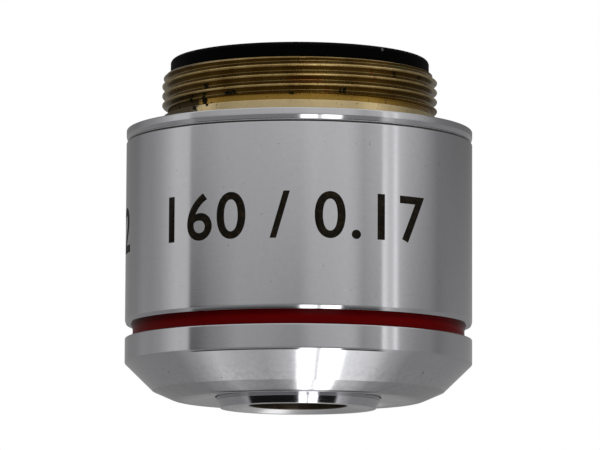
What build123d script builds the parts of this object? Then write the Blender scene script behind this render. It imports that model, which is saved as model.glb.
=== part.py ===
from build123d import *

import os
from collections import namedtuple
from math import sqrt

# Microscope objective: low power, long working distance, standard RMS mounting thread.
#
# The origin is the centre of the mounting shoulder, on the optical axis. +Z runs along the
# axis towards the thread; the nose and the specimen lie on the -Z side. Millimetres.
# The pieces come apart as on a bench: a brass mount, the chromed shoulder ring that is screwed
# on it from below, the sleeve that is screwed on the ring, and a lens barrel that drops in from
# the thread end with its stack of cells.

# Fits and edge breaks
SLIDE = 0.02            # radial clearance of a piece that slides or screws into another
SEAT_GAP = 0.005        # clearance between a lens face and the edge that it seats on
EDGE_BREAK = 0.06

# Outside of the mount: the thread's crest cylinder, a relief, a plain land and a hidden screw
THREAD_R = 20.32 / 2
THREAD_PITCH = 25.4 / 36
THREAD_ROOT_R = THREAD_R - 0.6403 * THREAD_PITCH
MOUNT_TOP = 4.10
THREAD_CHAMFER = 0.30
THREAD_BOTTOM = 1.47
RELIEF_R = THREAD_ROOT_R - 0.10
LAND_TOP = 0.97
LAND_R = 10.10
LAND_BOTTOM = -0.10
MOUNT_SCREW_R = 9.80
MOUNT_BOTTOM = -3.50

# Inside of the mount, from the thread end down
MOUNT_BORE_R = 8.90
BARREL_LEDGE_Z = -2.20
LEDGE_BORE_R = 8.20

# Shoulder ring and the top of the sleeve
BODY_R = 12.75
SHOULDER_BORE_R = 10.22         # clears the land and the crests of the thread
SHOULDER_BAND_BOTTOM = -0.51    # where the band's lower chamfer starts
SHOULDER_LIP_R = 12.47
SHOULDER_LIP_Z = -0.80          # top of the shadow gap under the band
GAP_FLOOR_R = 12.20
SLEEVE_TOP = -0.99
SPIGOT_R = 11.90
SPIGOT_BOTTOM = -3.40
SLEEVE_STEP_Z = -3.60
SLEEVE_BORE_R = 11.00

# Colour band and its groove
GROOVE_TOP = -14.36
GROOVE_CHAMFER = 0.24
GROOVE_BOTTOM = -15.41
GROOVE_FLOOR_R = 11.80
ENAMEL_EDGE_R = 12.32
ENAMEL_MIDDLE_R = 12.18

# Front of the sleeve: a steep cone, a shallow cone and a face hollowed round the nose
CONE_TOP = -17.22
CONE_BREAK_R = 10.70
CONE_BREAK_Z = -19.21
FACE_R = 9.00
FACE_Z = -19.95
FACE_HOLLOW = 0.30
FRONT_WALL = 1.95
INNER_CONE_TOP = -15.60
INNER_CONE_FOOT_R = 8.60
NOSE_HOLE_R = 6.10

# Lens barrel. Its nose ends in a narrow rim round a shallow dish, with the opening in the middle
BARREL_TOP = 2.00
COLLAR_BOTTOM = -1.90
BARREL_R = 8.10
BARREL_STEP_Z = -17.80
NOSE_R = 6.00
NOSE_BEVEL_Z = -19.93
NOSE_RIM_OUTER_R = 5.70
NOSE_RIM_INNER_R = 5.10
NOSE_TIP_Z = -20.47
DISH_RADIUS = 30.5
APERTURE_R = 3.55
POCKET_R = 4.52
STACK_FLOOR_Z = -17.00
STACK_R = 6.60

# Rear lock ring
LOCK_RING_TOP = 5.25
LOCK_RING_R = 9.55
LOCK_FLANGE_Z = 4.16
LOCK_BORE_R = 7.40
LOCK_EDGE_ROUND = 0.28
LOCK_SLOT_WIDTH = 1.10
LOCK_SLOT_DEPTH = 0.55

# Rings inside the stack
RING_SLOT_WIDTH = 0.80
RING_SLOT_DEPTH = 0.30
STACK_RING_TOP = 1.70
STACK_RING_BORE_R = 5.70
STOP_HOLE_R = 4.80
STOP_THICKNESS = 0.25

# Stations along the stack of cells, from the nose up
FRONT_CELL_TOP = -12.60
NEGATIVE_CELL_BOTTOM = -10.24
NEGATIVE_CELL_TOP = -6.90
REAR_CELL_BOTTOM = -4.75
REAR_CELL_TOP = 0.55
SPACER_WALL = 0.95
BAFFLE_DEPTH = 0.30
BAFFLE_PITCH = 0.60

# Glass. A face is its vertex height and its radius of curvature: positive where the face
# curls up towards its rim, negative where it curls down, None where it is flat.
# Traced as thin pencils, these six elements give a 40 mm focal length and focus 26 mm below
# the front lens, 45 mm below the shoulder.
Face_Form = namedtuple("Face_Form", "vertex radius")
Lens_Form = namedtuple("Lens_Form", "rim_r lower upper")

FRONT_LENS = Lens_Form(4.50, Face_Form(-18.90, None), Face_Form(-17.30, -40.0))
FRONT_CROWN = Lens_Form(5.30, Face_Form(-16.70, 49.0), Face_Form(-14.30, -13.0))
FRONT_FLINT = Lens_Form(5.30, Face_Form(-14.30, -13.0), Face_Form(-13.30, -34.0))
NEGATIVE_LENS = Lens_Form(4.80, Face_Form(-9.10, -22.0), Face_Form(-8.10, 22.0))
REAR_FLINT = Lens_Form(5.80, Face_Form(-4.20, 48.0), Face_Form(-2.90, 13.0))
REAR_CROWN = Lens_Form(5.80, Face_Form(-2.90, 13.0), Face_Form(0.30, -12.85))


def turned(outline):
    """A solid turned about Z from a closed outline of (radius, height) points."""
    section = Plane.XZ * make_face(Polyline(*outline, close=True))
    return revolve(section, axis=Axis.Z)


def tube(outer_r, inner_r, bottom, top):
    """A plain ring or tube."""
    return turned([(inner_r, bottom), (outer_r, bottom), (outer_r, top), (inner_r, top)])


def with_slots(ring, outer_r, top, width, depth):
    """Two spanner slots across the top face of a ring, one at each side."""
    return ring - Pos(0, 0, top) * Box(2.5 * outer_r, width, 2 * depth)


def circle_at(solid, radius, height):
    """The circular edge of a turned solid at this radius and height."""
    near = 0.001
    circles = solid.edges().filter_by(GeomType.CIRCLE)
    return [
        edge for edge in circles
        if abs(edge.radius - radius) < near and abs(edge.arc_center.Z - height) < near
    ]


def sag(sphere_r, radius):
    """How far a sphere falls away from its vertex at a distance from the axis."""
    return sphere_r - sqrt(sphere_r ** 2 - radius ** 2)


def height_at(face, radius):
    """Height of a lens face at a distance from the axis."""
    if face.radius is None:
        return face.vertex
    rise = sag(abs(face.radius), radius)
    return face.vertex + rise if face.radius > 0 else face.vertex - rise


def face_line(face, rim_r):
    """Half section of a lens face, from the axis to the rim."""
    start = (0, face.vertex)
    end = (rim_r, height_at(face, rim_r))
    if face.radius is None:
        return Line(start, end)
    middle = (rim_r / 2, height_at(face, rim_r / 2))
    return ThreePointArc(start, middle, end)


def lens(form):
    """A glass element turned about the axis."""
    lower = face_line(form.lower, form.rim_r)
    upper = face_line(form.upper, form.rim_r)
    rim = Line(lower @ 1, upper @ 1)
    axis_line = Line(lower @ 0, upper @ 0)
    section = Plane.XZ * make_face([lower, rim, upper, axis_line])
    return revolve(section, axis=Axis.Z)


# Mount and outer body

def thread_mount():
    """Brass mount: it screws into the nosepiece, and its land clamps the shoulder ring."""
    return turned([
        (MOUNT_BORE_R, MOUNT_TOP),
        (MOUNT_BORE_R, BARREL_LEDGE_Z),
        (LEDGE_BORE_R, BARREL_LEDGE_Z),
        (LEDGE_BORE_R, MOUNT_BOTTOM),
        (MOUNT_SCREW_R, MOUNT_BOTTOM),
        (MOUNT_SCREW_R, LAND_BOTTOM),
        (LAND_R, LAND_BOTTOM),
        (LAND_R, LAND_TOP),
        (RELIEF_R, LAND_TOP),
        (RELIEF_R, THREAD_BOTTOM),
        (THREAD_R, THREAD_BOTTOM),
        (THREAD_R, MOUNT_TOP - THREAD_CHAMFER),
        (THREAD_R - THREAD_CHAMFER, MOUNT_TOP),
    ])


def shoulder_ring():
    """Chromed ring that carries the mounting shoulder, screwed on the mount up to its land.

    The spigot below it takes the sleeve. A narrow shadow gap runs under its band.
    """
    bore_r = MOUNT_SCREW_R + SLIDE
    return turned([
        (SHOULDER_BORE_R, 0),
        (BODY_R - EDGE_BREAK, 0),
        (BODY_R, -EDGE_BREAK),
        (BODY_R, SHOULDER_BAND_BOTTOM),
        (SHOULDER_LIP_R, SHOULDER_LIP_Z),
        (GAP_FLOOR_R, SHOULDER_LIP_Z),
        (GAP_FLOOR_R, SLEEVE_TOP),
        (SPIGOT_R, SLEEVE_TOP),
        (SPIGOT_R, SPIGOT_BOTTOM),
        (bore_r, SPIGOT_BOTTOM),
        (bore_r, LAND_BOTTOM),
        (SHOULDER_BORE_R, LAND_BOTTOM),
    ])


def outer_sleeve():
    """The body: one turned piece, with the band's groove, two cones and the nose hole."""
    return turned([
        (SPIGOT_R + SLIDE, SLEEVE_TOP),
        (BODY_R - EDGE_BREAK, SLEEVE_TOP),
        (BODY_R, SLEEVE_TOP - EDGE_BREAK),
        (BODY_R, GROOVE_TOP + GROOVE_CHAMFER),
        (BODY_R - GROOVE_CHAMFER, GROOVE_TOP),
        (GROOVE_FLOOR_R, GROOVE_TOP),
        (GROOVE_FLOOR_R, GROOVE_BOTTOM),
        (BODY_R - EDGE_BREAK, GROOVE_BOTTOM),
        (BODY_R, GROOVE_BOTTOM - EDGE_BREAK),
        (BODY_R, CONE_TOP),
        (CONE_BREAK_R, CONE_BREAK_Z),
        (FACE_R, FACE_Z),
        (NOSE_HOLE_R, FACE_Z + FACE_HOLLOW),
        (NOSE_HOLE_R, FACE_Z + FRONT_WALL),
        (INNER_CONE_FOOT_R, FACE_Z + FRONT_WALL),
        (SLEEVE_BORE_R, INNER_CONE_TOP),
        (SLEEVE_BORE_R, SLEEVE_STEP_Z),
        (SPIGOT_R + SLIDE, SLEEVE_STEP_Z),
    ])


def colour_band():
    """Enamel that fills the groove part way, its face drawn in between the walls."""
    inner_r = GROOVE_FLOOR_R + SEAT_GAP
    top = GROOVE_TOP - SEAT_GAP
    bottom = GROOVE_BOTTOM + SEAT_GAP
    walls = Polyline((ENAMEL_EDGE_R, top), (inner_r, top), (inner_r, bottom), (ENAMEL_EDGE_R, bottom))
    hollow = ThreePointArc(
        (ENAMEL_EDGE_R, bottom),
        (ENAMEL_MIDDLE_R, (top + bottom) / 2),
        (ENAMEL_EDGE_R, top),
    )
    section = Plane.XZ * make_face([walls, hollow])
    return revolve(section, axis=Axis.Z)


def rear_lock_ring():
    """Black ring that screws into the mount and clamps the barrel on its shim."""
    ring = turned([
        (LOCK_BORE_R, BARREL_TOP),
        (MOUNT_BORE_R - SLIDE, BARREL_TOP),
        (MOUNT_BORE_R - SLIDE, LOCK_FLANGE_Z),
        (LOCK_RING_R, LOCK_FLANGE_Z),
        (LOCK_RING_R, LOCK_RING_TOP),
        (LOCK_BORE_R, LOCK_RING_TOP),
    ])
    ring = fillet(circle_at(ring, LOCK_RING_R, LOCK_RING_TOP), LOCK_EDGE_ROUND)
    return with_slots(ring, LOCK_RING_R, LOCK_RING_TOP, LOCK_SLOT_WIDTH, LOCK_SLOT_DEPTH)


# Lens barrel and what clamps in it

def parfocal_shim():
    """Thin washer that sets how far the barrel stands out of the mount."""
    return tube(MOUNT_BORE_R - 2 * SLIDE, LEDGE_BORE_R + SLIDE, BARREL_LEDGE_Z, COLLAR_BOTTOM)


def lens_barrel():
    """Tube with a collar at the thread end; its nose stands out through the sleeve's face."""
    lens_seat_z = FRONT_LENS.lower.vertex
    dish_vertex_z = NOSE_TIP_Z + sag(DISH_RADIUS, NOSE_RIM_INNER_R)
    opening = (APERTURE_R, dish_vertex_z - sag(DISH_RADIUS, APERTURE_R))
    rim = (NOSE_RIM_INNER_R, NOSE_TIP_Z)
    middle_r = (APERTURE_R + NOSE_RIM_INNER_R) / 2
    middle = (middle_r, dish_vertex_z - sag(DISH_RADIUS, middle_r))
    walls = Polyline(
        rim,
        (NOSE_RIM_OUTER_R, NOSE_TIP_Z),
        (NOSE_R, NOSE_BEVEL_Z),
        (NOSE_R, BARREL_STEP_Z),
        (BARREL_R, BARREL_STEP_Z),
        (BARREL_R, COLLAR_BOTTOM),
        (MOUNT_BORE_R - SLIDE, COLLAR_BOTTOM),
        (MOUNT_BORE_R - SLIDE, BARREL_TOP),
        (STACK_R, BARREL_TOP),
        (STACK_R, STACK_FLOOR_Z),
        (POCKET_R, STACK_FLOOR_Z),
        (POCKET_R, lens_seat_z),
        (APERTURE_R, lens_seat_z),
        opening,
    )
    dish = ThreePointArc(opening, middle, rim)
    return revolve(Plane.XZ * make_face([walls, dish]), axis=Axis.Z)


def clamp_ring(form, pocket_r, bore_r, height):
    """Slotted ring that holds a lens down: its inner edge seats on the lens's upper face."""
    seat = max(height_at(form.upper, bore_r), height_at(form.upper, form.rim_r))
    bottom = seat + SEAT_GAP
    outer_r = pocket_r - SLIDE
    ring = tube(outer_r, bore_r, bottom, bottom + height)
    return with_slots(ring, outer_r, bottom + height, RING_SLOT_WIDTH, RING_SLOT_DEPTH)


def lens_cell(form, lip_r, bottom, top):
    """Brass cup that slides in the barrel: a lip below, a pocket for the lens above."""
    seat = min(height_at(form.lower, lip_r), height_at(form.lower, form.rim_r))
    pocket_r = form.rim_r + SLIDE
    return turned([
        (lip_r, bottom),
        (STACK_R - SLIDE, bottom),
        (STACK_R - SLIDE, top),
        (pocket_r, top),
        (pocket_r, seat - SEAT_GAP),
        (lip_r, seat - SEAT_GAP),
    ])


def spacer(bottom, top):
    """Tube between two cells, its bore cut with sharp baffle rings against stray light."""
    outer_r = STACK_R - SLIDE
    crest_r = outer_r - SPACER_WALL
    count = int((top - bottom) / BAFFLE_PITCH)
    margin = (top - bottom - count * BAFFLE_PITCH) / 2
    outline = [(crest_r, bottom), (outer_r, bottom), (outer_r, top), (crest_r, top)]
    for index in range(count):
        crest_z = top - margin - index * BAFFLE_PITCH
        outline.append((crest_r, crest_z))
        outline.append((crest_r + BAFFLE_DEPTH, crest_z - BAFFLE_PITCH / 2))
    outline.append((crest_r, bottom + margin))
    return turned(outline)


def aperture_stop():
    """Thin blackened disc with the hole that sets the light cone."""
    return tube(STACK_R - SLIDE, STOP_HOLE_R, REAR_CELL_TOP, REAR_CELL_TOP + STOP_THICKNESS)


def stack_ring():
    """Ring screwed into the barrel that clamps the stop, cells and spacers together."""
    outer_r = STACK_R - SLIDE
    ring = tube(outer_r, STACK_RING_BORE_R, REAR_CELL_TOP + STOP_THICKNESS, STACK_RING_TOP)
    return with_slots(ring, outer_r, STACK_RING_TOP, RING_SLOT_WIDTH, RING_SLOT_DEPTH)


pieces = {
    "thread_mount": thread_mount(),
    "shoulder_ring": shoulder_ring(),
    "outer_sleeve": outer_sleeve(),
    "colour_band": colour_band(),
    "rear_lock_ring": rear_lock_ring(),
    "parfocal_shim": parfocal_shim(),
    "lens_barrel": lens_barrel(),
    "front_lens": lens(FRONT_LENS),
    "front_lens_ring": clamp_ring(FRONT_LENS, POCKET_R, 3.90, 0.42),
    "front_cell": lens_cell(FRONT_CROWN, 4.70, STACK_FLOOR_Z, FRONT_CELL_TOP),
    "front_crown_lens": lens(FRONT_CROWN),
    "front_flint_lens": lens(FRONT_FLINT),
    "front_cell_ring": clamp_ring(FRONT_FLINT, FRONT_FLINT.rim_r + SLIDE, 4.70, 0.70),
    "front_spacer": spacer(FRONT_CELL_TOP, NEGATIVE_CELL_BOTTOM),
    "negative_cell": lens_cell(NEGATIVE_LENS, 4.20, NEGATIVE_CELL_BOTTOM, NEGATIVE_CELL_TOP),
    "negative_lens": lens(NEGATIVE_LENS),
    "negative_cell_ring": clamp_ring(NEGATIVE_LENS, NEGATIVE_LENS.rim_r + SLIDE, 4.20, 0.50),
    "rear_spacer": spacer(NEGATIVE_CELL_TOP, REAR_CELL_BOTTOM),
    "rear_cell": lens_cell(REAR_FLINT, 5.10, REAR_CELL_BOTTOM, REAR_CELL_TOP),
    "rear_flint_lens": lens(REAR_FLINT),
    "rear_crown_lens": lens(REAR_CROWN),
    "rear_cell_ring": clamp_ring(REAR_CROWN, REAR_CROWN.rim_r + SLIDE, 5.10, 0.90),
    "aperture_stop": aperture_stop(),
    "stack_ring": stack_ring(),
}

os.makedirs("parts", exist_ok=True)
for name, solid in pieces.items():
    export_step(solid, f"parts/{name}.step")
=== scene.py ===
from math import acos, ceil, cos, degrees, pi, radians, sin, sqrt, tan

import bmesh
import bpy
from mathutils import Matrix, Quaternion, Vector


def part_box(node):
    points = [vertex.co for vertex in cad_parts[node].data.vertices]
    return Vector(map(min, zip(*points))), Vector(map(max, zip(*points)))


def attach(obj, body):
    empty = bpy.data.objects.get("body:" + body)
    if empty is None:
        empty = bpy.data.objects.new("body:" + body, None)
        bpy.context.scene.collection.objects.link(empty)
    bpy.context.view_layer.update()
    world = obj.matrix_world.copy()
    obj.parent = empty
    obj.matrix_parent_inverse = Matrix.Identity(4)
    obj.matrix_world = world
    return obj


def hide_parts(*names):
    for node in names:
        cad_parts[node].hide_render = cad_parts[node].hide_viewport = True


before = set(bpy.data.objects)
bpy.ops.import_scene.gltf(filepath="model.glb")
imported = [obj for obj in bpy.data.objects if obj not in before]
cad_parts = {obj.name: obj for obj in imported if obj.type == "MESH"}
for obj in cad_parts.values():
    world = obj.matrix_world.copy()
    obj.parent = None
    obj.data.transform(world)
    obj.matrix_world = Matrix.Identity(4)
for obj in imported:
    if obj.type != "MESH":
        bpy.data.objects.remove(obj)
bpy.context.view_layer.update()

# Microscope objective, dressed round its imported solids. Lengths are named in millimetres and
# written to meshes in metres. An azimuth is measured from the front (-Y), positive to the right.
MM = 0.001

# Sizes shared with the solids
BODY_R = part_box("outer_sleeve")[1].x / MM
SLEEVE_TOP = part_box("outer_sleeve")[1].z / MM
FACE_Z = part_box("outer_sleeve")[0].z / MM
NOSE_TIP_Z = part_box("lens_barrel")[0].z / MM
MOUNT_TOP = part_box("thread_mount")[1].z / MM
MOUNT_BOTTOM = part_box("thread_mount")[0].z / MM
THREAD_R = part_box("thread_mount")[1].x / MM
THREAD_PITCH = 25.4 / 36
THREAD_DEPTH = 0.6403 * THREAD_PITCH
THREAD_ROOT_R = THREAD_R - THREAD_DEPTH
THREAD_CHAMFER = 0.30
THREAD_BOTTOM = 1.47
THREAD_CREST_Z = 2.755          # height of a crest at the front
RELIEF_R = THREAD_ROOT_R - 0.10
LAND_TOP = 0.97
LAND_R = 10.10
LAND_BOTTOM = -0.10
MOUNT_SCREW_R = 9.80
MOUNT_BORE_R = 8.90
BARREL_LEDGE_Z = -2.20
LEDGE_BORE_R = 8.20
SLIDE = 0.02

SHOULDER_BORE_R = 10.22
SHOULDER_BAND_BOTTOM = -0.51
SHOULDER_LIP_Z = -0.80
GAP_FLOOR_R = 12.60             # the gap is drawn shallower than its solid's floor; the chrome paints it dark as the shade of the deeper gap
SPIGOT_R = 11.90
SPIGOT_BOTTOM = -3.40
SLEEVE_STEP_Z = -3.60
SLEEVE_BORE_R = 11.00

GROOVE_TOP = -14.36
GROOVE_CHAMFER = 0.24
GROOVE_BOTTOM = -15.41
GROOVE_FLOOR_R = 11.80
ENAMEL_EDGE_R = 12.32
ENAMEL_MIDDLE_R = 12.18

CONE_TOP = -17.22
CONE_BREAK_R = 10.70
CONE_BREAK_Z = -19.21
FACE_R = 9.00
FACE_HOLLOW = 0.30
FRONT_WALL = 1.95
INNER_CONE_TOP = -15.60
INNER_CONE_FOOT_R = 8.60
NOSE_HOLE_R = 6.10

BARREL_TOP = 2.00
COLLAR_BOTTOM = -1.90
BARREL_R = 8.10
BARREL_STEP_Z = -17.80
NOSE_R = 6.00
NOSE_BEVEL_Z = -19.93
NOSE_RIM_OUTER_R = 5.70
NOSE_RIM_INNER_R = 5.10
DISH_RADIUS = 30.5
APERTURE_R = 3.55
LENS_SEAT_Z = -18.90
POCKET_R = 4.52
STACK_FLOOR_Z = -17.00
STACK_R = 6.60
LOCK_RING_R = 9.55
LOCK_RING_TOP = 5.25
LIP_DRAW = 0.09                 # how far a turned lip draws in before it drops

# Mesh fineness
SEGMENTS = 256
ROUND_STEPS = 4
THREAD_ROWS_PER_PITCH = 34
SHARP_ANGLE = radians(32)


class Wire:
    """A number or vector that runs through a node tree. Arithmetic on it adds Math nodes."""

    def __init__(self, graph, socket):
        self.graph = graph
        self.socket = socket

    def math(self, operation, other=None, swap=False):
        first, second = (other, self) if swap else (self, other)
        inputs = {0: first}
        if second is not None:
            inputs[1] = second
        return self.graph.add("ShaderNodeMath", {"operation": operation}, inputs)

    def __add__(self, other):
        return self.math("ADD", other)

    __radd__ = __add__

    def __sub__(self, other):
        return self.math("SUBTRACT", other)

    def __rsub__(self, other):
        return self.math("SUBTRACT", other, swap=True)

    def __mul__(self, other):
        return self.math("MULTIPLY", other)

    __rmul__ = __mul__

    def __truediv__(self, other):
        return self.math("DIVIDE", other)

    def __gt__(self, other):
        return self.math("GREATER_THAN", other)

    def least(self, other):
        return self.math("MINIMUM", other)

    def most(self, other):
        return self.math("MAXIMUM", other)

    def cosine(self):
        return self.math("COSINE")

    def step(self, start, end):
        """0 up to start, 1 from end on, smooth between them. Start may be above end."""
        inputs = {"Value": self, "From Min": start, "From Max": end}
        return self.graph.add("ShaderNodeMapRange", {"interpolation_type": "SMOOTHSTEP"}, inputs)

    def within(self, limits, soft):
        """1 between two limits, 0 outside them, with soft edges."""
        start, end = limits
        return self.step(start - soft, start + soft) * self.step(end + soft, end - soft)


class Graph:
    """A node tree under construction."""

    def __init__(self, tree):
        self.tree = tree
        tree.nodes.clear()

    def add(self, kind, settings=None, inputs=None, output=0):
        """A node of this type with its settings, then its socket values or links, by name or index."""
        node = self.tree.nodes.new(kind)
        for name, value in (settings or {}).items():
            if name == "stops":
                self.set_stops(node.color_ramp, value)
            else:
                setattr(node, name, value)
        for key, value in (inputs or {}).items():
            if isinstance(value, Wire):
                self.tree.links.new(value.socket, node.inputs[key])
            else:
                node.inputs[key].default_value = value
        if not node.outputs:
            return node
        return Wire(self, node.outputs[output])

    @staticmethod
    def set_stops(ramp, stops):
        """Stops are (position, grey) or (position, (red, green, blue))."""
        while len(ramp.elements) > 1:
            ramp.elements.remove(ramp.elements[-1])
        for index, (position, colour) in enumerate(stops):
            element = ramp.elements[0] if index == 0 else ramp.elements.new(position)
            element.position = position
            rgb = colour if isinstance(colour, tuple) else (colour, colour, colour)
            element.color = (*rgb, 1.0)

    def split(self, vector):
        """The three numbers of a vector."""
        node = self.tree.nodes.new("ShaderNodeSeparateXYZ")
        self.tree.links.new(vector.socket, node.inputs[0])
        return [Wire(self, socket) for socket in node.outputs]

    def join(self, x, y, z):
        return self.add("ShaderNodeCombineXYZ", {}, {0: x, 1: y, 2: z})

    def mix(self, factor, first, second):
        """A colour between two colours."""
        inputs = {0: factor, 6: opaque(first), 7: opaque(second)}
        return self.add("ShaderNodeMix", {"data_type": "RGBA"}, inputs, 2)

    def noise(self, point, scale, detail=2.0, roughness=0.5):
        inputs = {"Vector": point, "Scale": scale, "Detail": detail, "Roughness": roughness}
        return self.add("ShaderNodeTexNoise", {"noise_dimensions": "3D"}, inputs)

    def ramp(self, factor, stops):
        return self.add("ShaderNodeValToRGB", {"stops": stops}, {0: factor})

    def bump(self, height, distance):
        """A relief of this depth in metres."""
        inputs = {"Height": height, "Distance": distance, "Strength": 1.0}
        return self.add("ShaderNodeBump", {}, inputs)


def opaque(colour):
    """A colour with its alpha, where it is not a link."""
    return colour if isinstance(colour, Wire) else (*colour, 1.0)


class Finish:
    """A material whose patterns follow the piece's own axis: millimetres along and round it."""

    def __init__(self, name):
        self.material = bpy.data.materials.new(name)
        self.material.use_nodes = True
        self.graph = Graph(self.material.node_tree)
        place = self.graph.add("ShaderNodeTexCoord", {}, {}, "Object")
        x, y, z = self.graph.split(place)
        self.x = x / MM
        self.y = y / MM
        self.height = z / MM
        self.radius = (self.x * self.x + self.y * self.y).math("SQRT")
        self.point = self.graph.join(self.x, self.y, self.height)

    def azimuth(self):
        """Angle from the front, in radians, positive to the right."""
        return self.x.math("ARCTAN2", 0.0 - self.y)

    def turning_marks(self, lines_per_mm, arc_mm):
        """Fine rings left by the lathe, each fading in and out along its arc."""
        along = (self.radius + self.height) * lines_per_mm
        streaks = self.graph.join(self.x / arc_mm, self.y / arc_mm, along)
        return self.graph.noise(streaks, 1.0, 1.0)

    def spots(self, places, ragged=0.5):
        """Mask of stains. A place is azimuth in degrees, height, width and depth in millimetres."""
        edge = self.graph.noise(self.point, 3.2, 3.0, 0.65) * ragged * 2 - ragged
        azimuth = self.azimuth()
        covered = None
        for degrees_round, height, width, depth in places:
            across = (azimuth - radians(degrees_round)) * self.radius / (width / 2)
            along = (self.height - height) / (depth / 2)
            reach = (across * across + along * along).math("SQRT") + edge
            spot = reach.step(1.15, 0.75)
            covered = spot if covered is None else covered.most(spot)
        return covered

    def shade(self, normal=None, **values):
        """Joins the surface: names such as base_color or metallic are the shader's sockets."""
        names = {"ior": "IOR", "specular_ior_level": "Specular IOR Level"}
        inputs = {}
        for name, value in values.items():
            socket = names.get(name, name.replace("_", " ").title())
            is_colour = isinstance(value, tuple) and len(value) == 3
            inputs[socket] = opaque(value) if is_colour else value
        if normal is not None:
            inputs["Normal"] = normal
        shader = self.graph.add("ShaderNodeBsdfPrincipled", {}, inputs)
        self.graph.add("ShaderNodeOutputMaterial", {}, {"Surface": shader})
        return self.material


# Wear: each place is azimuth in degrees, then height, width and depth in millimetres

CHROME_SPECKS = [
    (-54.0, -18.4, 0.16, 0.12),
    (51.0, -18.4, 0.16, 0.14),
    (-30.0, -19.0, 0.10, 0.08),
]
GRIME_PLACES = [
    (-44.2, 2.35, 0.42, 0.34),
    (-31.7, 1.66, 0.75, 0.28),
    (-29.0, 1.74, 0.35, 0.30),
    (-54.1, 1.50, 0.45, 0.40),
    (-65.8, 1.12, 0.60, 0.45),
    (-45.6, 1.35, 0.55, 0.75),
    (-49.0, 0.80, 0.55, 0.40),
    (-41.5, 0.95, 0.30, 0.35),
    (19.2, 1.80, 0.34, 0.30),
    (17.4, 1.76, 0.20, 0.20),
    (-3.6, 1.46, 0.40, 0.16),
    (43.9, 1.00, 0.26, 0.16),
    (45.1, 3.13, 0.30, 0.22),
    (64.8, 3.04, 0.45, 0.35),
]
RUST_PLACES = [
    (32.3, 2.9, 0.35, 0.9),
    (11.6, 1.70, 0.40, 0.28),
    (2.0, 2.5, 3.0, 0.30),
]
VERDIGRIS_PLACE = (48.7, 3.84, 1.8, 0.5)
OLD_GRIME = (radians(-100), radians(-49))       # side of the land and relief that it darkens
RING_NICK = (38.7, 5.02, 0.22, 0.28)


# Finishes

def satin_chrome():
    """Bright chrome over a fine turned surface, mottled at the cones where it is handled."""
    finish = Finish("satin_chrome")
    graph = finish.graph
    marks = finish.turning_marks(9.0, 2.6)
    rubbed = graph.noise(finish.point, 0.22, 3.0, 0.6)
    cloud = graph.noise(finish.point, 0.9, 4.0, 0.6)
    pits = graph.noise(finish.point, 5.5, 1.0).step(0.735, 0.80)
    handled = finish.height.step(CONE_TOP, CONE_BREAK_Z)
    mottle = graph.noise(finish.point, 2.3, 3.0, 0.65)
    grain = (marks - 0.5) * 0.05 + (cloud - 0.5) * 0.035 + (mottle - 0.5) * (handled * 2.2 + 0.5)
    clean = graph.mix((grain + 0.5).least(1.0).most(0.0), (0.455, 0.455, 0.475), (0.545, 0.545, 0.560))
    colour = graph.mix(pits * 0.45, clean, (0.10, 0.09, 0.08))
    specks = finish.spots(CHROME_SPECKS, 0.4)
    colour = graph.mix(specks * 0.75, colour, (0.05, 0.04, 0.03))
    # Painted shade: the seam gap is drawn shallower than its solid, and its floor is painted dark to
    # stand for the shade of the deep gap
    above_sleeve = finish.height.step(SLEEVE_TOP - 0.02, SLEEVE_TOP)
    below_lip = finish.height.step(SHOULDER_LIP_Z, SLEEVE_TOP + 0.1)
    darkening = above_sleeve * below_lip * finish.radius.step(GAP_FLOOR_R + 0.06, GAP_FLOOR_R + 0.02)
    colour = graph.mix(darkening, colour, (0.022, 0.018, 0.014))
    return finish.shade(
        base_color=colour,
        metallic=1 - darkening * 0.9 - specks * 0.4,
        roughness=rubbed * 0.05 + marks * 0.03 + darkening * 0.5 + 0.055,
        normal=graph.bump(marks, 0.0000005),
    )


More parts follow.
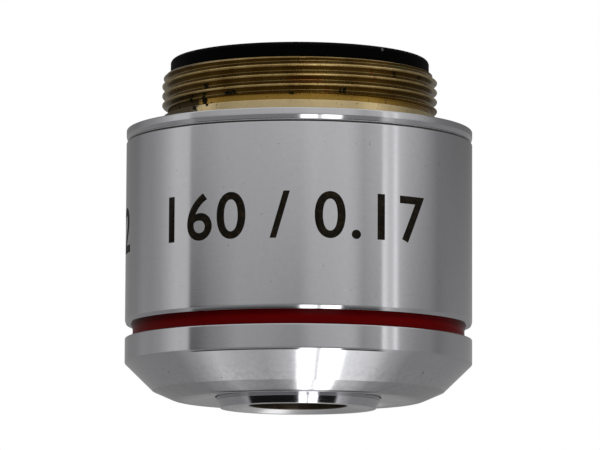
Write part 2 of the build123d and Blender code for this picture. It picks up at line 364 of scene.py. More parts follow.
def aged_brass():
    """Turned brass gone brown, bright where fingers and nosepieces rub it, with grime in its corners,
    and painted shade in its relief and between its thread's crests.
    """
    finish = Finish("aged_brass")
    graph = finish.graph
    marks = finish.turning_marks(11.0, 1.8)
    blotches = graph.noise(finish.point, 0.55, 4.0, 0.62)
    fine = graph.noise(finish.point, 2.4, 3.0, 0.6)
    tarnish = graph.ramp(blotches, [
        (0.30, (0.26, 0.175, 0.062)),
        (0.48, (0.37, 0.262, 0.100)),
        (0.66, (0.47, 0.350, 0.150)),
    ])
    on_thread = finish.height.step(LAND_TOP + 0.02, LAND_TOP + 0.06)
    crest = finish.radius.step(THREAD_R - 0.30 * THREAD_DEPTH, THREAD_R - 0.04)
    # Painted shade: the thread's flanks and roots are painted darker than its crests
    thread_groove_shade = on_thread * (1 - crest)
    thread_colour_and_shade = graph.mix(thread_groove_shade * 0.62, tarnish, (0.105, 0.066, 0.018))
    below_relief = finish.height.step(LAND_TOP + 0.05, LAND_TOP - 0.02)
    land = below_relief * finish.radius.step(LAND_R - 0.2, LAND_R - 0.1)
    colour = graph.mix(land * 0.75, thread_colour_and_shade, (0.60, 0.48, 0.270))
    # Painted shade: the relief under the thread is painted a darker orange
    relief_shade = on_thread * finish.height.step(THREAD_BOTTOM + 0.06, THREAD_BOTTOM)
    colour = graph.mix(relief_shade * 0.8, colour, (0.31, 0.180, 0.030))
    verdigris = finish.spots([VERDIGRIS_PLACE], 0.6)
    colour = graph.mix(verdigris * 0.35, colour, (0.16, 0.20, 0.08))
    rust = finish.spots(RUST_PLACES, 0.5)
    colour = graph.mix(rust * 0.45, colour, (0.20, 0.055, 0.015))
    grime = finish.spots(GRIME_PLACES, 0.55)
    speckle = graph.noise(finish.point, 4.6, 2.0).step(0.66, 0.74)
    side = finish.azimuth() + (blotches - 0.5) * 0.5 + (fine - 0.5) * 0.3
    below_thread = finish.height.step(THREAD_BOTTOM + 0.15, THREAD_BOTTOM - 0.07)
    old_grime = side.within(OLD_GRIME, 0.05) * below_thread
    darkening = grime.most(speckle * 0.55).most(fine.step(0.64, 0.78) * 0.30).most(old_grime * 0.85)
    colour = graph.mix(darkening, colour, (0.012, 0.009, 0.004))
    return finish.shade(
        base_color=colour,
        metallic=1 - darkening * 0.85,
        specular_ior_level=0.10,
        roughness=darkening * 0.45 + fine * 0.16 + 0.20 - land * 0.04,
        normal=graph.bump(marks * 0.4 + fine * 0.6, 0.000004),
    )


def red_enamel():
    """Dark red glossy enamel in its groove, with painted shade along the groove's bottom and under its
    upper lip.
    """
    finish = Finish("red_enamel")
    graph = finish.graph
    flow = graph.noise(graph.join(finish.x / 6, finish.y / 6, finish.height), 1.4, 2.0)
    # Painted shade: darker along the groove's bottom and under its upper lip
    low_shade = finish.height.step(GROOVE_BOTTOM + 0.16, GROOVE_BOTTOM + 0.04)
    shade = finish.height.step(GROOVE_TOP - 0.50, GROOVE_TOP - 0.15)
    lively = graph.mix(flow, (0.105, 0.0003, 0.0006), (0.135, 0.0004, 0.0010))
    colour = graph.mix((low_shade * 0.5).most(shade * 0.60), lively, (0.026, 0.0002, 0.0004))
    return finish.shade(
        base_color=colour,
        roughness=flow * 0.10 + 0.20,
        specular_ior_level=0.02,
        normal=graph.bump(flow, 0.00001),
    )


def black_anodised():
    """Matt black ring, rubbed at its edge, with one small nick."""
    finish = Finish("black_anodised")
    graph = finish.graph
    marks = finish.turning_marks(8.0, 2.0)
    dust = graph.noise(finish.point, 6.0, 2.0).step(0.66, 0.80)
    nick = finish.spots([RING_NICK], 0.3)
    at_top = finish.height.step(LOCK_RING_TOP - 0.30, LOCK_RING_TOP - 0.20)
    rubbed = finish.radius.step(LOCK_RING_R - 0.14, LOCK_RING_R - 0.04) * at_top
    dusty = (marks * 0.3 + dust * 0.25).least(1.0)
    colour = graph.mix(dusty, (0.0003, 0.0003, 0.0004), (0.003, 0.003, 0.003))
    colour = graph.mix(rubbed * 0.10, colour, (0.02, 0.02, 0.02))
    colour = graph.mix(nick, colour, (0.10, 0.09, 0.08))
    return finish.shade(
        base_color=colour,
        metallic=nick * 0.4,
        roughness=marks * 0.12 + 0.42 - rubbed * 0.05,
        specular_ior_level=0.015,
        normal=graph.bump(marks, 0.000002),
    )


def blackened_brass():
    """Chemically blackened brass of the cells, worn to a brown in patches."""
    finish = Finish("blackened_brass")
    graph = finish.graph
    marks = finish.turning_marks(7.0, 1.5)
    cloud = graph.noise(finish.point, 1.3, 3.0, 0.6)
    worn = (marks * 0.5 + cloud * 0.5).step(0.54, 0.70)
    return finish.shade(
        base_color=graph.mix(worn * 0.6, (0.016, 0.014, 0.013), (0.10, 0.065, 0.030)),
        metallic=0.65,
        roughness=cloud * 0.15 + 0.34,
        normal=graph.bump(marks, 0.000003),
    )


def shim_steel():
    """Rolled steel strip, with its grain all one way."""
    finish = Finish("shim_steel")
    graph = finish.graph
    grain = graph.noise(graph.join(finish.x * 9, finish.y * 0.5, finish.height), 1.0, 2.0)
    return finish.shade(
        base_color=graph.mix(grain, (0.42, 0.42, 0.43), (0.58, 0.58, 0.59)),
        metallic=1.0,
        roughness=grain * 0.12 + 0.24,
        normal=graph.bump(grain, 0.000002),
    )


def barrel_metal():
    """Chrome nose and collar; the bore and the wall round the opening are blackened."""
    finish = Finish("barrel_metal")
    graph = finish.graph
    marks = finish.turning_marks(9.0, 2.0)
    cloud = graph.noise(finish.point, 1.1, 3.0, 0.6)
    inner_wall = finish.radius.step(APERTURE_R + 0.16, APERTURE_R + 0.08)
    above_seat = finish.height.step(LENS_SEAT_Z - 0.1, LENS_SEAT_Z)
    bore = finish.radius.step(STACK_R + 0.05, STACK_R) * above_seat
    black = inner_wall.most(bore)
    bright = graph.mix(marks * 0.5 + cloud * 0.5, (0.43, 0.43, 0.45), (0.56, 0.56, 0.575))
    dark = graph.mix(cloud, (0.030, 0.026, 0.022), (0.085, 0.060, 0.035))
    return finish.shade(
        base_color=graph.mix(black, bright, dark),
        metallic=1 - black * 0.25,
        roughness=black * 0.20 + marks * 0.03 + cloud * 0.04 + 0.06,
        normal=graph.bump(marks, 0.0000012),
    )


def coated_glass(name, tint, sheen):
    """Optical glass. Its coating leaves a weak coloured reflection and a little dust shows."""
    finish = Finish(name)
    graph = finish.graph
    dust = graph.noise(finish.point, 5.0, 3.0, 0.6).step(0.62, 0.80)
    return finish.shade(
        base_color=graph.mix(dust * 0.12, tint, (0.55, 0.54, 0.50)),
        roughness=dust * 0.06,
        transmission_weight=1.0,
        ior=1.52,
        specular_ior_level=0.50,
        specular_tint=sheen,
    )


def number_fill():
    """Black paint rubbed into the engraved numbers, brown where it thins."""
    finish = Finish("number_fill")
    graph = finish.graph
    thin = graph.noise(finish.point, 2.6, 3.0, 0.6)
    return finish.shade(
        base_color=graph.mix(thin.step(0.45, 0.75), (0.005, 0.0035, 0.0012), (0.018, 0.011, 0.003)),
        roughness=thin * 0.2 + 0.35,
        specular_ior_level=0.08,
        normal=graph.bump(thin, 0.000010),
    )


# Turned meshes

def sag(sphere_r, radius):
    """How far a sphere falls away from its vertex at a distance from the axis."""
    return sphere_r - sqrt(sphere_r ** 2 - radius ** 2)


def rounded(outline):
    """Points of a closed half section. A corner is (radius, height) or (radius, height, edge round).

    A round is an arc with one more point on each side of it, which keeps the shading of the
    flats beside it true.
    """
    points = []
    count = len(outline)
    for index, corner in enumerate(outline):
        here = Vector(corner[:2])
        size = corner[2] if len(corner) > 2 else 0.0
        if size == 0.0:
            points.append(here)
            continue
        back = (Vector(outline[index - 1][:2]) - here).normalized()
        ahead = (Vector(outline[(index + 1) % count][:2]) - here).normalized()
        half = acos(max(-1.0, min(1.0, back.dot(ahead)))) / 2
        reach = size / tan(half)
        centre = here + (back + ahead).normalized() * (size / sin(half))
        start = here + back * reach
        end = here + ahead * reach
        points.append(start + back * size * 0.5)
        for step in range(ROUND_STEPS + 1):
            share = step / ROUND_STEPS
            aim = (start - centre).slerp(end - centre, share)
            points.append(centre + aim.normalized() * size)
        points.append(end + ahead * size * 0.5)
    return points


def between(start, end, spacing):
    """Evenly spaced points from start to end, both included."""
    first = Vector(start)
    last = Vector(end)
    count = max(1, ceil((last - first).length / spacing))
    return [tuple(first.lerp(last, index / count)) for index in range(count + 1)]


def arc_between(start, end, height_of, count):
    """Points of a curved stretch of a section between two radii."""
    radii = [start + (end - start) * index / count for index in range(count + 1)]
    return [(radius, height_of(radius)) for radius in radii]


def turned(name, outline):
    """A closed ring turned about Z, as an object at the origin."""
    points = rounded(outline)
    rows = len(points)
    vertices = []
    for point in points:
        for step in range(SEGMENTS):
            angle = 2 * pi * step / SEGMENTS
            vertices.append((point.x * cos(angle) * MM, point.x * sin(angle) * MM, point.y * MM))
    faces = []
    for row in range(rows):
        above = (row + 1) % rows
        for step in range(SEGMENTS):
            beside = (step + 1) % SEGMENTS
            faces.append((
                row * SEGMENTS + step,
                row * SEGMENTS + beside,
                above * SEGMENTS + beside,
                above * SEGMENTS + step,
            ))
    mesh = bpy.data.meshes.new(name)
    mesh.from_pydata(vertices, [], faces)
    tidy = bmesh.new()
    tidy.from_mesh(mesh)
    bmesh.ops.recalc_face_normals(tidy, faces=tidy.faces)
    tidy.to_mesh(mesh)
    tidy.free()
    mesh.shade_smooth()
    mesh.set_sharp_from_angle(angle=SHARP_ANGLE)
    piece = bpy.data.objects.new(name, mesh)
    bpy.context.scene.collection.objects.link(piece)
    return piece


def plain_mesh(piece):
    """The evaluated mesh of a piece, with its modifiers applied."""
    bpy.context.view_layer.update()
    depsgraph = bpy.context.evaluated_depsgraph_get()
    return bpy.data.meshes.new_from_object(piece.evaluated_get(depsgraph))


def thread_cutter():
    """Geometry Nodes: cuts a right-hand thread of rounded form into a turned blank."""
    tree = bpy.data.node_groups.new("thread_cutter", "GeometryNodeTree")
    tree.is_modifier = True
    inputs = {
        "Geometry": "NodeSocketGeometry",
        "Pitch": "NodeSocketFloat",
        "Root Radius": "NodeSocketFloat",
        "Depth": "NodeSocketFloat",
        "Start": "NodeSocketFloat",
        "Crest Height": "NodeSocketFloat",
        "Material": "NodeSocketMaterial",
    }
    for name, kind in inputs.items():
        tree.interface.new_socket(name=name, in_out="INPUT", socket_type=kind)
    tree.interface.new_socket(name="Geometry", in_out="OUTPUT", socket_type="NodeSocketGeometry")
    graph = Graph(tree)
    entry = tree.nodes.new("NodeGroupInput")
    given = {name: Wire(graph, entry.outputs[name]) for name in inputs}
    x, y, z = graph.split(graph.add("GeometryNodeInputPosition"))
    radius = (x * x + y * y).math("SQRT")
    turn = x.math("ARCTAN2", 0.0 - y) / (2 * pi)
    phase = (z - given["Crest Height"]) / given["Pitch"] - turn
    form = given["Root Radius"] + given["Depth"] * ((phase * (2 * pi)).cosine() * 0.5 + 0.5)
    share = radius.least(form) / radius
    place = graph.join(x * share, y * share, z)
    on_thread = (z > given["Start"]) * (radius > given["Root Radius"])
    moved = graph.add("GeometryNodeSetPosition", {}, {
        "Geometry": given["Geometry"],
        "Selection": on_thread,
        "Position": place,
    })
    real = graph.add("GeometryNodeRealizeInstances", {}, {"Geometry": moved})
    done = graph.add("GeometryNodeSetMaterial", {}, {"Geometry": real, "Material": given["Material"]})
    graph.add("NodeGroupOutput", {}, {"Geometry": done})
    return tree


def set_inputs(modifier, values):
    """Sets a Geometry Nodes modifier's inputs by the names in its tree."""
    for item in modifier.node_group.interface.items_tree:
        if item.in_out == "INPUT" and item.name in values:
            modifier[item.identifier] = values[item.name]


def dress(piece, node, material):
    """A finished piece stands for a node: it takes the given finish, rides on the root body, and the
    node is hidden.
    """
    piece.data.materials.clear()
    piece.data.materials.append(material)
    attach(piece, "root")
    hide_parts(node)


# Pieces of the outside

def brass_mount(material):
    """Mount with its bore, land and relief, and the mounting thread cut to its true form."""
    spacing = THREAD_PITCH / THREAD_ROWS_PER_PITCH
    chamfer_foot = (THREAD_R, MOUNT_TOP - THREAD_CHAMFER)
    chamfer_top = (THREAD_R - THREAD_CHAMFER, MOUNT_TOP)
    blank = turned("brass_mount", [
        (MOUNT_BORE_R, MOUNT_TOP, 0.05),
        (MOUNT_BORE_R, BARREL_LEDGE_Z),
        (LEDGE_BORE_R, BARREL_LEDGE_Z, 0.04),
        (LEDGE_BORE_R, MOUNT_BOTTOM, 0.05),
        (MOUNT_SCREW_R, MOUNT_BOTTOM, 0.10),
        (MOUNT_SCREW_R, LAND_BOTTOM),
        (LAND_R, LAND_BOTTOM, 0.03),
        (LAND_R, LAND_TOP, 0.05),
        (RELIEF_R, LAND_TOP, 0.06),
        (RELIEF_R, THREAD_BOTTOM, 0.06),
        *between((THREAD_ROOT_R, THREAD_BOTTOM), (THREAD_R, THREAD_BOTTOM), 3 * spacing),
        *between((THREAD_R, THREAD_BOTTOM + spacing), chamfer_foot, spacing),
        *between(chamfer_foot, chamfer_top, 2 * spacing)[1:],
    ])
    cutter = blank.modifiers.new("thread", "NODES")
    cutter.node_group = thread_cutter()
    set_inputs(cutter, {
        "Pitch": THREAD_PITCH * MM,
        "Root Radius": THREAD_ROOT_R * MM,
        "Depth": THREAD_DEPTH * MM,
        "Start": (THREAD_BOTTOM - 0.01) * MM,
        "Crest Height": THREAD_CREST_Z * MM,
        "Material": material,
    })
    cut = plain_mesh(blank)
    blank.modifiers.remove(cutter)
    blank.data = cut
    blank.data.set_sharp_from_angle(angle=SHARP_ANGLE)
    dress(blank, "thread_mount", material)


def chromed_shoulder_ring(material):
    ring = turned("chromed_shoulder_ring", [
        (SHOULDER_BORE_R, 0, 0.03),
        (BODY_R, 0, 0.09),
        (BODY_R, SHOULDER_BAND_BOTTOM, 0.30),
        (BODY_R - LIP_DRAW, SHOULDER_LIP_Z, 0.05),
        (GAP_FLOOR_R, SHOULDER_LIP_Z),
        (GAP_FLOOR_R, SLEEVE_TOP),
        (SPIGOT_R, SLEEVE_TOP),
        (SPIGOT_R, SPIGOT_BOTTOM, 0.10),
        (MOUNT_SCREW_R + SLIDE, SPIGOT_BOTTOM, 0.10),
        (MOUNT_SCREW_R + SLIDE, LAND_BOTTOM),
        (SHOULDER_BORE_R, LAND_BOTTOM),
    ])
    dress(ring, "shoulder_ring", material)


def chromed_sleeve(material):
    """The body, its edges broken as the lathe leaves them."""
    sleeve = turned("chromed_sleeve", [
        (SPIGOT_R + SLIDE, SLEEVE_TOP),
        (BODY_R, SLEEVE_TOP, 0.06),
        (BODY_R, GROOVE_TOP + GROOVE_CHAMFER, 0.25),
        (BODY_R - LIP_DRAW, GROOVE_TOP, 0.05),
        (GROOVE_FLOOR_R, GROOVE_TOP),
        (GROOVE_FLOOR_R, GROOVE_BOTTOM),
        (BODY_R, GROOVE_BOTTOM, 0.06),
        (BODY_R, CONE_TOP, 0.20),
        (CONE_BREAK_R, CONE_BREAK_Z, 0.08),
        (FACE_R, FACE_Z, 1.50),
        (NOSE_HOLE_R, FACE_Z + FACE_HOLLOW, 0.03),
        (NOSE_HOLE_R, FACE_Z + FRONT_WALL, 0.05),
        (INNER_CONE_FOOT_R, FACE_Z + FRONT_WALL),
        (SLEEVE_BORE_R, INNER_CONE_TOP),
        (SLEEVE_BORE_R, SLEEVE_STEP_Z, 0.05),
        (SPIGOT_R + SLIDE, SLEEVE_STEP_Z),
    ])
    dress(sleeve, "outer_sleeve", material)


def enamel_band(material):
    """Enamel drawn in between the groove's walls."""
    inner_r = GROOVE_FLOOR_R + 0.005
    top = GROOVE_TOP - 0.005
    bottom = GROOVE_BOTTOM + 0.005
    middle = (top + bottom) / 2
    half = (top - bottom) / 2
    hollow = ENAMEL_EDGE_R - ENAMEL_MIDDLE_R
    outline = [(inner_r, top), (inner_r, bottom)]
    for height in [bottom + 2 * half * index / 16 for index in range(17)]:
        draw = 1 - ((height - middle) / half) ** 2
        outline.append((ENAMEL_EDGE_R - hollow * draw, height))
    dress(turned("enamel_band", outline), "colour_band", material)


def chromed_barrel(material):
    """Lens barrel: a collar at the thread end, a dished nose with the opening at the other."""
    dish_vertex_z = NOSE_TIP_Z + sag(DISH_RADIUS, NOSE_RIM_INNER_R)

    def dish(radius):
        return dish_vertex_z - sag(DISH_RADIUS, radius)

    dish_points = arc_between(APERTURE_R, NOSE_RIM_INNER_R, dish, 8)
    barrel = turned("chromed_barrel", [
        (APERTURE_R, LENS_SEAT_Z, 0.02),
        (*dish_points[0], 0.05),
        *dish_points[1:-1],
        (*dish_points[-1], 0.03),
        (NOSE_RIM_OUTER_R, NOSE_TIP_Z, 0.04),
        (NOSE_R, NOSE_BEVEL_Z, 0.05),
        (NOSE_R, BARREL_STEP_Z),
        (BARREL_R, BARREL_STEP_Z, 0.05),
        (BARREL_R, COLLAR_BOTTOM),
        (MOUNT_BORE_R - SLIDE, COLLAR_BOTTOM, 0.05),
        (MOUNT_BORE_R - SLIDE, BARREL_TOP, 0.05),
        (STACK_R, BARREL_TOP, 0.10),
        (STACK_R, STACK_FLOOR_Z),
        (POCKET_R, STACK_FLOOR_Z, 0.03),
        (POCKET_R, LENS_SEAT_Z),
    ])
    dress(barrel, "lens_barrel", material)


# Numbers on the sleeve: plain ones, where such an objective is marked
NUMBER_HEIGHT = 3.40
NUMBER_MIDDLE_Z = -7.66
NUMBER_PROUD = 0.006
NUMBER_DEPTH = 0.030
NUMBER_SLICE = 0.35
NUMBER_SPACING = 1.08
NUMBER_WEIGHT = 0.012


def numbers(name, text, left, right, material):
    """Filled numbers wrapped round the sleeve between two azimuths, in degrees."""
    curve = bpy.data.curves.new(name, "FONT")
    curve.body = text
    curve.space_character = NUMBER_SPACING
    curve.offset = NUMBER_WEIGHT
    writing = bpy.data.objects.new(name, curve)
    bpy.context.scene.collection.objects.link(writing)
    mesh = plain_mesh(writing)
    bpy.data.objects.remove(writing)
    flat = bmesh.new()
    flat.from_mesh(mesh)
    bmesh.ops.remove_doubles(flat, verts=flat.verts, dist=1e-5)
    low = Vector((min(v.co.x for v in flat.verts), min(v.co.y for v in flat.verts)))
    high = Vector((max(v.co.x for v in flat.verts), max(v.co.y for v in flat.verts)))
    arc = radians(right - left) * BODY_R
    for vertex in flat.verts:
        across = (vertex.co.x - low.x) / (high.x - low.x) - 0.5
        up = (vertex.co.y - low.y) / (high.y - low.y) - 0.5
        vertex.co = Vector((across * arc, up * NUMBER_HEIGHT, 0))
    for index in range(1, ceil(arc / NUMBER_SLICE)):
        cut = Vector((index * NUMBER_SLICE - arc / 2, 0, 0))
        geometry = flat.verts[:] + flat.edges[:] + flat.faces[:]
        bmesh.ops.bisect_plane(flat, geom=geometry, plane_co=cut, plane_no=(1, 0, 0), dist=1e-6)
    bmesh.ops.solidify(flat, geom=flat.faces[:], thickness=NUMBER_DEPTH)
    top = max(vertex.co.z for vertex in flat.verts)
    middle = radians(left + right) / 2
    for vertex in flat.verts:
        azimuth = middle + vertex.co.x / BODY_R
        radius = BODY_R + NUMBER_PROUD + vertex.co.z - top
        height = NUMBER_MIDDLE_Z + vertex.co.y
        vertex.co = Vector((radius * sin(azimuth), -radius * cos(azimuth), height)) * MM
    bmesh.ops.recalc_face_normals(flat, faces=flat.faces)
    flat.to_mesh(mesh)
    flat.free()
    mesh.name = name
    mesh.materials.clear()
    mesh.materials.append(material)
    piece = bpy.data.objects.new(name, mesh)
    bpy.context.scene.collection.objects.link(piece)
    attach(piece, "root")


# Studio: a white surround, a drum wall whose panels the chrome reflects, and a light floor

DRUM_R = 0.36
DRUM_TOP = 0.34
DRUM_SIDES = 96
HORIZON_BLEND = 0.004
FLOOR_Z = -0.25
FLOOR_HALF = 3.0
LIGHT_CENTRE_Z = -0.017         # the lights below the horizon are laid out round this height
VIEW_LEVEL = 0.993              # direction from there to the camera: level part and drop
VIEW_DROP = 0.120

# The wall round the object, low down and high up: azimuth, then light at each height
WALL_LOW_Z = 0.0165
WALL_HIGH_Z = 0.044
WALL_PANELS = [
    (-180, 0.33, 0.24), (-150, 0.28, 0.24), (-134, 0.32, 0.26), (-124, 0.40, 0.35), (-112, 0.40, 0.40),
    (-103, 0.46, 0.50), (-95, 0.61, 0.65), (-88, 0.75, 0.81), (-76.2, 0.76, 0.80), (-75.2, 0.18, 0.50),
    (-68, 0.21, 0.49), (-60, 0.32, 0.54), (-50, 0.41, 0.61), (-40, 0.53, 0.63), (-20, 0.50, 0.65),
    (-10, 0.45, 0.68), (0, 0.43, 0.70), (9, 0.61, 0.79), (18, 0.65, 0.78), (31, 0.71, 0.82),
    (36, 0.67, 0.75), (42, 0.44, 0.60), (48, 0.51, 0.67), (55.4, 0.55, 0.72), (56.0, 1.34, 1.18),
    (58.8, 1.24, 1.14), (59.4, 0.90, 0.92), (63.2, 0.86, 0.92), (63.8, 1.28, 1.22), (66.2, 1.36, 1.30),
    (66.8, 1.00, 0.96), (68.4, 0.62, 0.84), (74, 0.50, 0.70), (79, 0.43, 0.63), (86, 0.37, 0.54),
    (94, 0.35, 0.42), (103, 0.27, 0.29), (112, 0.31, 0.27), (122, 0.33, 0.25), (150, 0.32, 0.22),
    (180, 0.33, 0.24),
]

# Below the horizon: azimuth of the surface that reflects the light to the camera, and light
LOW_PANELS = [
    (-90, 0.30), (-45, 0.33), (-37, 0.50), (-29, 0.86), (-21, 0.70), (-11.4, 0.58), (-3.1, 0.82),
    (-0.8, 1.00), (-0.3, 3.2), (5.7, 3.2), (6.1, 0.30), (6.9, 0.30), (7.3, 3.2), (15.0, 3.2),
    (16.2, 1.40), (23.4, 1.15), (27.1, 0.98), (32.8, 0.56), (40.5, 0.35), (90, 0.30),
]
PATCH = (0.4, 13.8)              # azimuths of the white patch, which nearly meets the horizon
PATCH_START = (6.5, 8.5)         # slopes over which it begins; 0 is a wall, 90 faces straight down
DOORWAY = (-37.0, 28.0)          # azimuths of the dark doorway behind the camera
DOORWAY_SLOPES = (20, 35)
DOORWAY_LIGHT = 0.012
SILL_END = (42, 38)              # slopes over which the grey sill round it gives way to the panels
SILL_LIGHT = 0.30
CONE_FOOT = (-46, 42)            # azimuths at which the foot of the cones darkens
CONE_FOOT_SLOPES = (66, 75)
CONE_FOOT_SHADE = 0.78
FACE_SLOPES = (79.5, 82)         # slopes from which the face and the nose's dish take over
FACE_LIGHT = 0.30
DISH_GLOW = (-12, 45)            # azimuths of the glow and of the glint in the dish
DISH_GLINT = (6, 22)
PANEL_SCALE = 4.0                # a ramp's colours stay under 1


def panel_light(graph, place, panels):
    """Looks a brightness up along a row of panels."""
    first = panels[0][0]
    last = panels[-1][0]
    factor = (place - first) / (last - first)
    stops = [((at - first) / (last - first), light / PANEL_SCALE) for at, light in panels]
    low = stops[:len(stops) // 2 + 1]
    high = stops[len(stops) // 2:]
    middle = high[0][0]
    brightness = [
        graph.add("ShaderNodeRGBToBW", {}, {0: graph.ramp(factor, part)}) * PANEL_SCALE
        for part in (low, high)
    ]
    after = factor > middle
    return brightness[0] * (1 - after) + brightness[1] * after


def camera_ray(graph):
    return graph.add("ShaderNodeLightPath", {}, {}, "Is Camera Ray")


def stage_material(name):
    material = bpy.data.materials.new(name)
    material.use_nodes = True
    graph = Graph(material.node_tree)
    place = graph.add("ShaderNodeTexCoord", {}, {}, "Object")
    return material, graph, graph.split(place)


def stage_object(name, vertices, faces, material):
    mesh = bpy.data.meshes.new(name)
    mesh.from_pydata(vertices, [], faces)
    mesh.materials.append(material)
    stage = bpy.data.objects.new(name, mesh)
    bpy.context.scene.collection.objects.link(stage)
    return stage


def low_light(graph, x, y, z):
    """Light below the horizon, laid out by the surface direction that reflects it to the camera.

    Two cones of different slopes then show the same panel at the same azimuth, as in the photo.
    """
    rise = z - LIGHT_CENTRE_Z
    reach = (x * x + y * y + rise * rise).math("SQRT")
    right = x / reach
    ahead = VIEW_LEVEL - y / reach
    azimuth = right.math("ARCTAN2", ahead) * degrees(1.0)
    level = (right * right + ahead * ahead).math("SQRT")
    slope = (VIEW_DROP - rise / reach).math("ARCTAN2", level) * degrees(1.0)
    panels = panel_light(graph, azimuth, LOW_PANELS)

    # The lower cone shows the panels dimmer than the upper one, and the bright ones most
    bright = panels.step(0.40, 0.60)
    lamp = panels.step(1.5, 2.5)
    dimming = slope.step(50, 60) * (bright * 0.18 + 0.18) * (1 - lamp)
    light = panels * (1 - dimming)

    beside_patch = 1 - azimuth.within(PATCH, 0.3) * slope.step(*PATCH_START)
    at_doorway = azimuth.within(DOORWAY, 1.5) * beside_patch
    light = light + (SILL_LIGHT - light) * at_doorway * slope.step(*SILL_END)
    light = light + (DOORWAY_LIGHT - light) * at_doorway * slope.within(DOORWAY_SLOPES, 2)

    foot = slope.step(*CONE_FOOT_SLOPES) * azimuth.within(CONE_FOOT, 4)
    light = light * (1 - foot * CONE_FOOT_SHADE)
    in_dish = azimuth.within(DISH_GLOW, 10) * 0.12 + azimuth.within(DISH_GLINT, 4)
    return light + (FACE_LIGHT + in_dish - light) * slope.step(*FACE_SLOPES)


def drum_wall():
    """A round wall that only the object sees: panels above the horizon, the low lights below it."""
    material, graph, (x, y, z) = stage_material("drum_wall")
    azimuth = x.math("ARCTAN2", 0.0 - y) * degrees(1.0)
    low = panel_light(graph, azimuth, [(at, light) for at, light, _ in WALL_PANELS])
    high = panel_light(graph, azimuth, [(at, light) for at, _, light in WALL_PANELS])
    share = ((z - WALL_LOW_Z) / (WALL_HIGH_Z - WALL_LOW_Z)).most(-0.2).least(1.2)
    above = low + (high - low) * share
    light = above + (low_light(graph, x, y, z) - above) * z.step(HORIZON_BLEND, -HORIZON_BLEND)
    glow = graph.add("ShaderNodeEmission", {}, {"Strength": light})
    graph.add("ShaderNodeOutputMaterial", {}, {"Surface": glow})
    vertices = []
    for height in (FLOOR_Z, DRUM_TOP):
        for step in range(DRUM_SIDES):
            angle = 2 * pi * step / DRUM_SIDES
            vertices.append((DRUM_R * cos(angle), DRUM_R * sin(angle), height))
    faces = []
    for step in range(DRUM_SIDES):
        beside = (step + 1) % DRUM_SIDES
        faces.append((step, beside, DRUM_SIDES + beside, DRUM_SIDES + step))
    wall = stage_object("drum_wall", vertices, faces, material)
    wall.visible_camera = False


def light_floor():
    """Pale floor. The camera sees it plain; the object sees the low lights."""
    material, graph, (x, y, z) = stage_material("light_floor")
    glow = graph.add("ShaderNodeEmission", {}, {"Strength": low_light(graph, x, y, z)})
    matt = graph.add("ShaderNodeBsdfDiffuse", {}, {"Color": (0.8, 0.8, 0.8, 1.0)})
    pale = graph.add("ShaderNodeEmission", {}, {"Strength": 1.0})
    plain = graph.add("ShaderNodeMixShader", {}, {0: 0.72, 1: matt, 2: pale})
    surface = graph.add("ShaderNodeMixShader", {}, {0: camera_ray(graph), 1: glow, 2: plain})
    graph.add("ShaderNodeOutputMaterial", {}, {"Surface": surface})
    half = FLOOR_HALF
    corners = [(-half, -half), (half, -half), (half, half), (-half, half)]
    stage_object("light_floor", [(px, py, FLOOR_Z) for px, py in corners], [(0, 1, 2, 3)], material)


def white_world():
    """White to the camera, to metal and to glass, and a plain soft light for the rest."""
    world = bpy.data.worlds.new("white_world")
    world.use_nodes = True
    graph = Graph(world.node_tree)
    seen = camera_ray(graph)
    for kind in ("Is Glossy Ray", "Is Transmission Ray"):
        seen = seen.most(graph.add("ShaderNodeLightPath", {}, {}, kind))
    strength = seen * 0.25 + 0.75
    sky = graph.add("ShaderNodeBackground", {}, {"Color": (1.0, 1.0, 1.0, 1.0), "Strength": strength})
    graph.add("ShaderNodeOutputWorld", {}, {"Surface": sky})
    bpy.context.scene.world = world


# Camera: below the shoulder, looking slightly up, as the photograph was taken
CAMERA_DISTANCE = 320.0
CAMERA_RISE = 6.90               # degrees that it looks up
CAMERA_AIM_Z = -6.90
CAMERA_LENS = 260.6
CAMERA_SHIFT = 0.0016
CAMERA_ROLL = 0.28


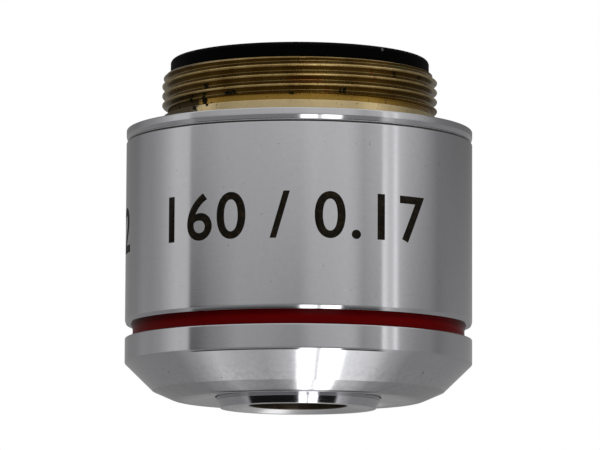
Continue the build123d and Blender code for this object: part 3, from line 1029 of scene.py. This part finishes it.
def camera():
    data = bpy.data.cameras.new("camera")
    data.lens = CAMERA_LENS
    data.sensor_width = 36.0
    data.shift_x = CAMERA_SHIFT
    data.clip_start = 0.01
    data.clip_end = 20.0
    viewer = bpy.data.objects.new("camera", data)
    rise = radians(CAMERA_RISE)
    ahead = Vector((0, cos(rise), sin(rise)))
    aim = Vector((0, 0, CAMERA_AIM_Z))
    viewer.location = (aim - ahead * CAMERA_DISTANCE) * MM
    roll = Quaternion((0, 0, 1), radians(CAMERA_ROLL))
    viewer.rotation_mode = "QUATERNION"
    viewer.rotation_quaternion = ahead.to_track_quat("-Z", "Y") @ roll
    bpy.context.scene.collection.objects.link(viewer)
    bpy.context.scene.camera = viewer


# Build

chrome = satin_chrome()
brass = aged_brass()
black = black_anodised()
dark_brass = blackened_brass()
crown_glass = coated_glass("crown_glass", (0.93, 0.97, 0.95), (0.55, 0.35, 0.80))
flint_glass = coated_glass("flint_glass", (0.97, 0.94, 0.86), (0.35, 0.65, 0.60))
fill = number_fill()

brass_mount(brass)
chromed_shoulder_ring(chrome)
chromed_sleeve(chrome)
enamel_band(red_enamel())
chromed_barrel(barrel_metal())
numbers("numbers_front", "160 / 0.17", -47.0, 44.5, fill)
numbers("numbers_left", "5 / 0.12", -153.0, -75.0, fill)
numbers("numbers_right", "45 / 24", 75.0, 147.0, fill)

# Nodes that keep their solid's mesh, by the finish that each takes
KEPT_NODES = {
    black: ["rear_lock_ring", "stack_ring", "aperture_stop", "front_spacer", "rear_spacer"],
    dark_brass: [
        "front_lens_ring", "front_cell", "front_cell_ring", "negative_cell",
        "negative_cell_ring", "rear_cell", "rear_cell_ring",
    ],
    crown_glass: ["front_lens", "front_crown_lens", "rear_crown_lens"],
    flint_glass: ["front_flint_lens", "negative_lens", "rear_flint_lens"],
    shim_steel(): ["parfocal_shim"],
}
for finish, names in KEPT_NODES.items():
    for name in names:
        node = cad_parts[name]
        if not node.material_slots:
            node.data.materials.append(finish)
        for material_slot in node.material_slots:
            material_slot.material = finish

drum_wall()
light_floor()
white_world()
camera()
bpy.context.scene.view_settings.view_transform = "Standard"
